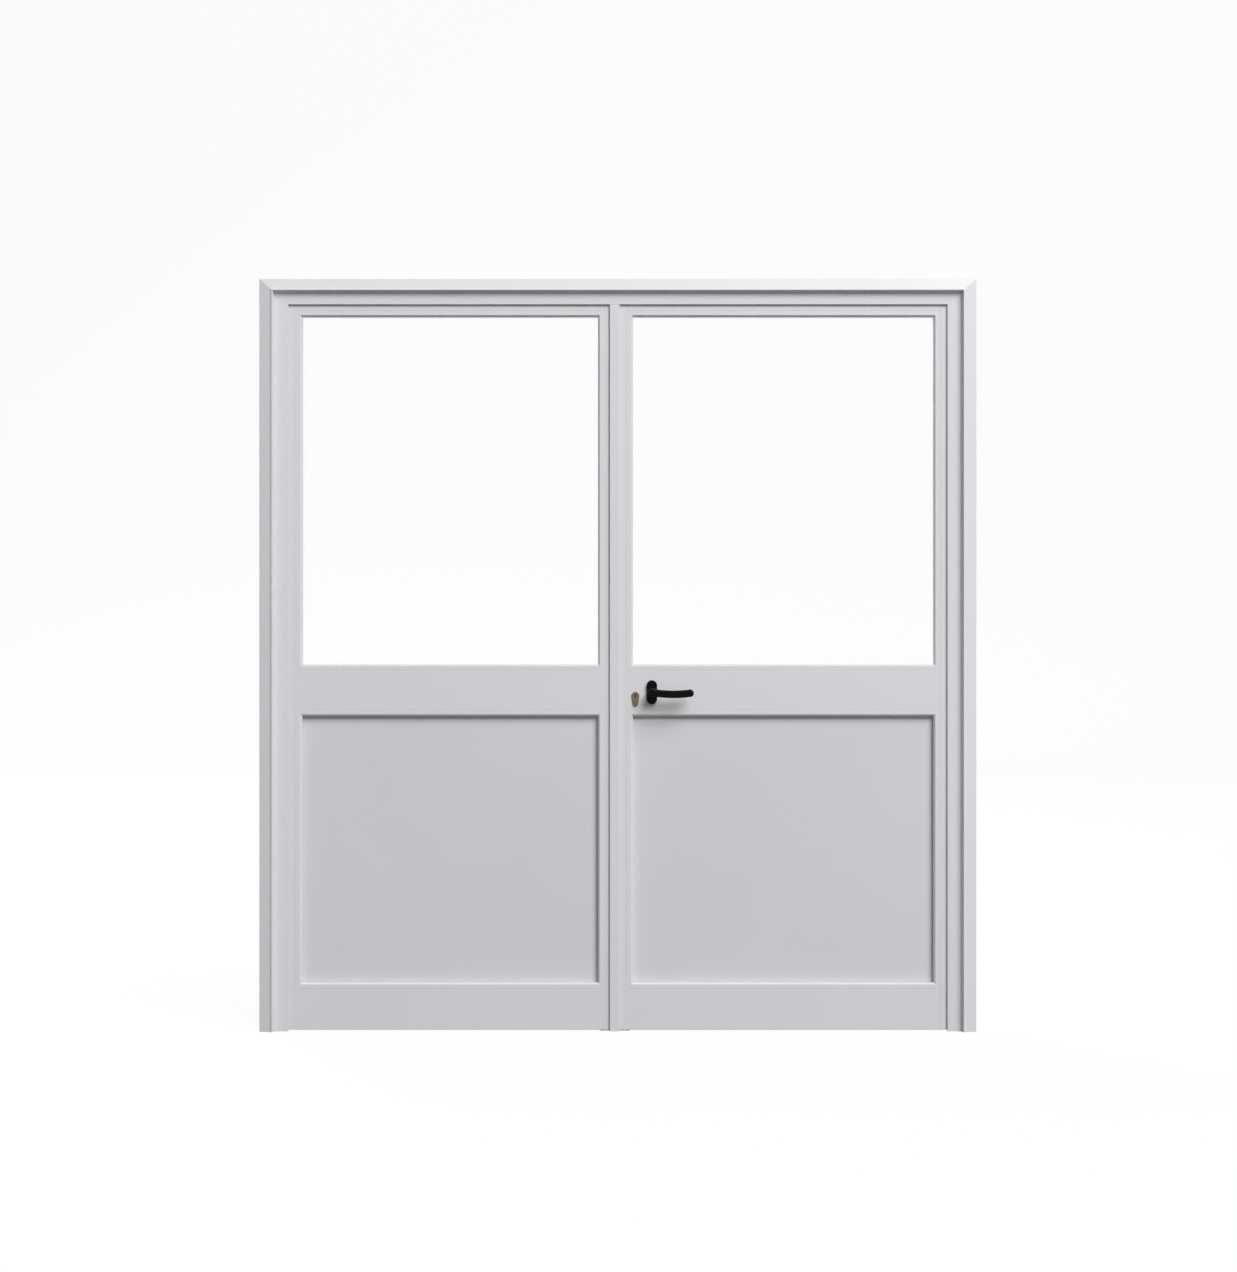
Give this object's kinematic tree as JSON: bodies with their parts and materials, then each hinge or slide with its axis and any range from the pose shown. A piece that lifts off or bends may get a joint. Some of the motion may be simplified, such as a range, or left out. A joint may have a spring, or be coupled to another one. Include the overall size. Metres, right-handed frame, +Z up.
{
  "type": "half-glazed double door",
  "caption": "Aluminium double door in a stepped frame, clear glass above and flat panels below a middle rail, with a black lever and a cylinder lock on one leaf.",
  "frame": {"origin": "on the floor, half way across the frame, in the middle of the closed leaves' thickness", "axes": "+Z up, +X to the right seen from the front, +Y away from the front, where the leaves open to"},
  "size_m": [2, 0.15, 2.1],
  "materials": {
    "white_coat": "white powder coat",
    "panel_face": "smooth white",
    "clear_glass": "clear float",
    "grey_seal": "matt",
    "block_plastic": "matt",
    "mill_aluminium": "as extruded",
    "zinc_steel": "zinc plated",
    "hinge_coat": "white coat",
    "lock_brass": "dull nickel on brass",
    "lever_black": "satin black"
  },
  "bodies": {
    "frame": {"frame_jamb_left": "white_coat", "frame_jamb_right": "white_coat", "frame_head": "white_coat", "frame_cleats": "mill_aluminium", "frame_gasket": "grey_seal", "centre_post": "white_coat", "post_plates": "zinc_steel", "post_gasket": "grey_seal", "bolt_keep": "zinc_steel", "hinge_frame_leaves": "hinge_coat", "hinge_pins": "zinc_steel"},
    "left_leaf": {"left_hinge_stile": "white_coat", "left_meeting_stile": "white_coat", "left_top_rail": "white_coat", "left_mid_rail": "white_coat", "left_bottom_rail": "white_coat", "left_spigots": "mill_aluminium", "left_glass": "clear_glass", "left_spacer": "mill_aluminium", "left_panel": "panel_face", "left_gaskets": "grey_seal", "left_setting_blocks": "block_plastic", "left_glass_beads": "white_coat", "left_panel_beads": "white_coat", "left_hinge_leaves": "hinge_coat", "left_stile_caps": "block_plastic", "flush_plates": "zinc_steel"},
    "right_leaf": {"right_hinge_stile": "white_coat", "right_meeting_stile": "white_coat", "right_top_rail": "white_coat", "right_mid_rail": "white_coat", "right_bottom_rail": "white_coat", "right_spigots": "mill_aluminium", "right_glass": "clear_glass", "right_spacer": "mill_aluminium", "right_panel": "panel_face", "right_gaskets": "grey_seal", "right_setting_blocks": "block_plastic", "right_glass_beads": "white_coat", "right_panel_beads": "white_coat", "right_hinge_leaves": "hinge_coat", "lock_faceplate": "zinc_steel", "lock_case": "zinc_steel", "lock_cover": "zinc_steel", "cylinder_body": "lock_brass", "escutcheons": "lock_brass", "lever_roses": "lever_black"},
    "handle": {"lever_front": "lever_black", "lever_back": "lever_black", "lever_spindle": "zinc_steel", "lever_pinion": "zinc_steel"},
    "lever_bolt": {"lever_bolt": "zinc_steel"},
    "dead_bolt": {"dead_bolt": "zinc_steel"},
    "cylinder_plug": {"cylinder_plug": "lock_brass"},
    "flush_bolt_upper": {"flush_bolt_upper": "zinc_steel"},
    "flush_bolt_lower": {"flush_bolt_lower": "zinc_steel"}
  },
  "joints": [
    {"name": "left_leaf_swing", "type": "hinge", "parent": "frame", "child": "left_leaf", "pos_m": [-0.93575, 0.0285, 1.03], "axis": [0, 0, 1], "range_deg": [0, 100]},
    {"name": "right_leaf_swing", "type": "hinge", "parent": "frame", "child": "right_leaf", "pos_m": [0.93575, 0.0285, 1.03], "axis": [0, 0, -1], "range_deg": [0, 100]},
    {"name": "lever_turn", "type": "hinge", "parent": "right_leaf", "child": "handle", "pos_m": [0.095, 0, 0.947], "axis": [0, -1, 0], "range_deg": [0, 60]},
    {"name": "lever_bolt_slide", "type": "slide", "parent": "right_leaf", "child": "lever_bolt", "axis": [-1, 0, 0], "range_m": [0, 0.01258]},
    {"name": "dead_bolt_slide", "type": "slide", "parent": "right_leaf", "child": "dead_bolt", "axis": [-1, 0, 0], "range_m": [0, 0.01262]},
    {"name": "cylinder_turn", "type": "hinge", "parent": "right_leaf", "child": "cylinder_plug", "pos_m": [0.049, 0, 0.937], "axis": [0, -1, 0], "range_deg": [0, 72]},
    {"name": "flush_upper_slide", "type": "slide", "parent": "left_leaf", "child": "flush_bolt_upper", "axis": [0, 0, 1], "range_m": [0, 0.015]},
    {"name": "flush_lower_slide", "type": "slide", "parent": "left_leaf", "child": "flush_bolt_lower", "axis": [0, 0, -1], "range_m": [0, 0.015]}
  ],
  "couplings": [
    {"joint": "lever_bolt_slide", "follows": "lever_turn", "m_per_rad": 0.012},
    {"joint": "cylinder_turn", "follows": "dead_bolt_slide", "rad_per_m": 96.819}
  ]
}
